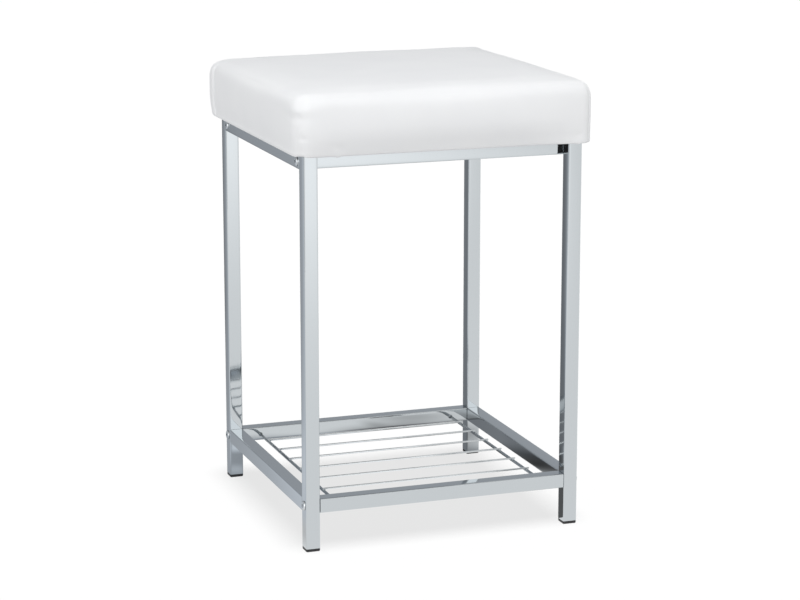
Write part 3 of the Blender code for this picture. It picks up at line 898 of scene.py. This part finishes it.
# what the chrome sees, painted on glowing sheets that only the gloss sees: a floor that is bright in front,
# and grey to the left, behind and under the stool, where the grey is painted shadow, with a wall behind it;
# the greys change along X + 0.4 Y, which is along the rays off the left faces
shine = {
    "reach": 20.0,
    "front": 1.05,
    "slant": 0.4,
    "greys": [(-1.5, 0.6), (-0.4, 0.72), (-0.2, 0.72), (-0.15, 0.54), (-0.1, 0.46), (-0.01, 0.41),
              (0.045, 0.24), (0.1, 0.2), (0.155, 0.28), (0.2, 0.25), (0.45, 0.4), (0.7, 0.43), (1.0, 0.46),
              (2.0, 0.8)],
    "tint": (0.945, 0.995, 1.066),   # the greys are a little blue
    "backSlant": -0.5,
    "turnsGrey": (-0.005, 0.085),    # along Y - X / 2
    # spots on the floor: middle, reach, turn in degrees, and gain in the middle; a gain under 1 is painted
    # shade under and beside the stool, a gain over 1 a painted bright patch
    "spots": [
        ((0.08, 0.07), (0.13, 0.12), 0, 0.08),
        ((-0.18, -0.09), (0.05, 0.09), 0, 0.68),
        ((-0.24, 0.22), (0.12, 0.3), 0, 1.12),
        ((0.6, -2.6), (0.7, 2.3), 18, 1.37),
        ((-0.115, 0.02), (0.035, 0.032), 0, 2.0),
        ((-0.143, 0.112), (0.03, 0.035), 0, 1.45),
        ((-0.003, 0.085), (0.055, 0.065), 0, 3.2),
        ((0.14, -0.05), (0.085, 0.11), 0, 0.62),
        ((0.078, -0.02), (0.022, 0.06), 0, 0.75),
        ((0.18, 0.05), (0.05, 0.07), 0, 0.62),
    ],
    "wallPlace": 1.0,
    "wallFade": (0.26, 0.5),         # heights between which the wall turns to one grey
    "wallGrey": 0.44,
    "wallTop": 1.6,
    # two dark cards and a bright one, glowing sheets seen only in the gloss: the dark ones paint dark
    # reflections, the bright one paints highlights along the front rails' top edges and the wires
    "cards": [
        {"x": (-0.7, -0.25), "y": -1.6, "z": (0.0, 0.6), "level": 0.03},
        {"x": (0.11, 0.142), "y": -0.135, "z": (0.0, 0.06), "level": 0.13},
        {"x": (-0.1, 0.9), "y": -1.5, "z": (0.42, 0.75), "level": 1.75},
    ],
}


def makeStage(name, corners, material):
    bm = bmesh.new()
    bm.faces.new([bm.verts.new(corner) for corner in corners])
    mesh = bpy.data.meshes.new(name)
    bm.to_mesh(mesh)
    bm.free()
    mesh.materials.append(material)
    sheet = bpy.data.objects.new(name, mesh)
    scene.collection.objects.link(sheet)
    return sheet


def onlyInGloss(card):
    card.visible_camera = False
    card.visible_diffuse = False
    card.visible_shadow = False
    card.visible_transmission = False
    card.visible_volume_scatter = False


def glowMaterial(name, strength=1.0):
    material = bpy.data.materials.new(name)
    material.use_nodes = True
    tree = material.node_tree
    tree.nodes.clear()
    glow = addNode(tree, "ShaderNodeEmission", {"Strength": strength})
    addNode(tree, "ShaderNodeOutputMaterial", links={"Surface": (glow, "Emission")})
    return material, tree, glow


def coolGrey(level):
    return (*(level * share for share in shine["tint"]), 1.0)


def makeFloor():
    material = startMaterial("white backdrop paper", Roughness=0.9, Specular_IOR_Level=0.0,
                             Base_Color=linearColour(studio["floorColour"]),
                             Emission_Color=linearColour("#FFFFFF"), Emission_Strength=studio["floorGlow"])[0]
    far = studio["floorSize"] / 2
    floor = makeStage("floor", [(-far, -far, 0), (far, -far, 0), (far, far, 0), (-far, far, 0)], material)
    floor.visible_diffuse = False
    floor.visible_glossy = False
    return floor


def slantedGreys(tree):
    place = addNode(tree, "ShaderNodeTexCoord")
    split = addNode(tree, "ShaderNodeSeparateXYZ", links={"Vector": (place, "Object")})
    along = addNode(tree, "ShaderNodeMath", {1: shine["slant"]}, {0: (split, "Y"), 2: (split, "X")},
                    operation="MULTIPLY_ADD")
    stops = shine["greys"]
    low, high = stops[0][0], stops[-1][0]
    share = addNode(tree, "ShaderNodeMapRange", {"From Min": low, "From Max": high},
                    {"Value": (along, "Value")})
    ramp = addNode(tree, "ShaderNodeValToRGB", links={"Fac": (share, "Result")})
    while len(ramp.color_ramp.elements) < len(stops):
        ramp.color_ramp.elements.new(0.5)
    for element, (at, level) in zip(ramp.color_ramp.elements, stops):
        element.position = (at - low) / (high - low)
        element.color = coolGrey(level)
    return split, ramp


def makeShineFloor():
    material, tree, glow = glowMaterial("floor in the gloss")
    split, greys = slantedGreys(tree)
    back = addNode(tree, "ShaderNodeMath", {1: shine["backSlant"]}, {0: (split, "X"), 2: (split, "Y")},
                   operation="MULTIPLY_ADD")
    begins, full = shine["turnsGrey"]
    turn = addNode(tree, "ShaderNodeMapRange", {"From Min": begins, "From Max": full},
                   {"Value": (back, "Value")}, interpolation_type="SMOOTHSTEP")
    tone = addNode(tree, "ShaderNodeMix", {"A": (shine["front"], shine["front"], shine["front"], 1.0)},
                   {"Factor": (turn, "Result"), "B": (greys, "Color")}, data_type="RGBA")
    place = addNode(tree, "ShaderNodeTexCoord")
    gain = None
    # the spots multiply the glow: painted shade and painted light on the floor that the chrome reflects
    for (x, y), (reachX, reachY), turned, strength in shine["spots"]:
        near = addNode(tree, "ShaderNodeMapping",
                       {"Location": (x, y, 0), "Rotation": (0, 0, math.radians(turned)),
                        "Scale": (reachX, reachY, 1)}, {"Vector": (place, "Object")}, vector_type="TEXTURE")
        away = addNode(tree, "ShaderNodeVectorMath", links={0: (near, "Vector")}, operation="LENGTH")
        spot = addNode(tree, "ShaderNodeMapRange", {"To Min": strength}, {"Value": (away, "Value")},
                       interpolation_type="SMOOTHSTEP")
        before = {0: (gain, "Value")} if gain else {}
        gain = addNode(tree, "ShaderNodeMath", {0: 1.0}, {**before, 1: (spot, "Result")},
                       operation="MULTIPLY")
    linkInputs(tree, glow, {"Color": (tone, "Result"), "Strength": (gain, "Value")})
    far, wall = shine["reach"], shine["wallPlace"]
    corners = [(-far, -far, 0), (far, -far, 0), (far, wall, 0), (-far, wall, 0)]
    onlyInGloss(makeStage("shineFloor", corners, material))


def makeWallCard():
    material, tree, glow = glowMaterial("wall in the gloss")
    split, greys = slantedGreys(tree)
    begins, full = shine["wallFade"]
    fade = addNode(tree, "ShaderNodeMapRange", {"From Min": begins, "From Max": full},
                   {"Value": (split, "Z")}, interpolation_type="SMOOTHSTEP")
    tone = addNode(tree, "ShaderNodeMix", {"B": coolGrey(shine["wallGrey"])},
                   {"Factor": (fade, "Result"), "A": (greys, "Color")}, data_type="RGBA")
    linkInputs(tree, glow, {"Color": (tone, "Result")})
    far, wall, top = shine["reach"], shine["wallPlace"], shine["wallTop"]
    corners = [(-far, wall, 0), (far, wall, 0), (far, wall, top), (-far, wall, top)]
    onlyInGloss(makeStage("wallCard", corners, material))


def makeCards():
    for card in shine["cards"]:
        left, right = card["x"]
        low, high = card["z"]
        corners = [(x, card["y"], z) for x, z in ((left, low), (right, low), (right, high), (left, high))]
        onlyInGloss(makeStage("card", corners, glowMaterial("card in the gloss", card["level"])[0]))


floor = makeFloor()
makeShineFloor()
makeWallCard()
makeCards()
print("floor, wall and cards made")

world = bpy.data.worlds.new("white room")
world.use_nodes = True
scene.world = world
room = world.node_tree
around = addNode(room, "ShaderNodeTexCoord")
sideways = addNode(room, "ShaderNodeSeparateXYZ", links={"Vector": (around, "Generated")})
begins, full = studio["rightTurn"]
level = addNode(room, "ShaderNodeMapRange",
                {"From Min": begins, "From Max": full, "To Min": studio["room"],
                 "To Max": studio["roomRight"]}, {"Value": (sideways, "X")})
linkInputs(room, room.nodes["Background"], {"Strength": (level, "Result")})
room.nodes["Background"].inputs["Color"].default_value = linearColour("#FFFFFF")


def placeLamp(data, setup, title, things, state):
    data.energy = setup["power"]
    lamp = bpy.data.objects.new(data.name, data)
    lamp.location = setup["place"]
    lamp.rotation_euler = (Vector(setup["aim"]) - Vector(setup["place"])).to_track_quat("-Z", "Y").to_euler()
    lamp.visible_camera = False
    scene.collection.objects.link(lamp)
    # it lights these things alone, or all but these
    linked = bpy.data.collections.new(title)
    for thing in things:
        linked.objects.link(thing)
    for entry in linked.collection_objects:
        entry.light_linking.link_state = state
    lamp.light_linking.receiver_collection = linked
    return lamp


def placeSoftbox(setup, title, things, state):
    softbox = bpy.data.lights.new("softbox", "AREA")
    softbox.size = setup["size"]
    return placeLamp(softbox, setup, title, things, state)


for setup in studio["lamps"]:
    placeSoftbox(setup, "all but the floor", [floor], "EXCLUDE").visible_glossy = False
placeSoftbox(studio["glint"], "screw heads", frameScrews, "INCLUDE")
sun = bpy.data.lights.new("overhead", "SUN")
sun.angle = math.radians(studio["overhead"]["spread"])
overhead = placeLamp(sun, studio["overhead"], "floor alone", [floor], "INCLUDE")
overhead.visible_glossy = False
# the seat's board alone casts the shadow
shade = bpy.data.collections.new("casts the shadow")
shade.objects.link(nodes["seat_board"])
overhead.light_linking.blocker_collection = shade
print("studio lit")
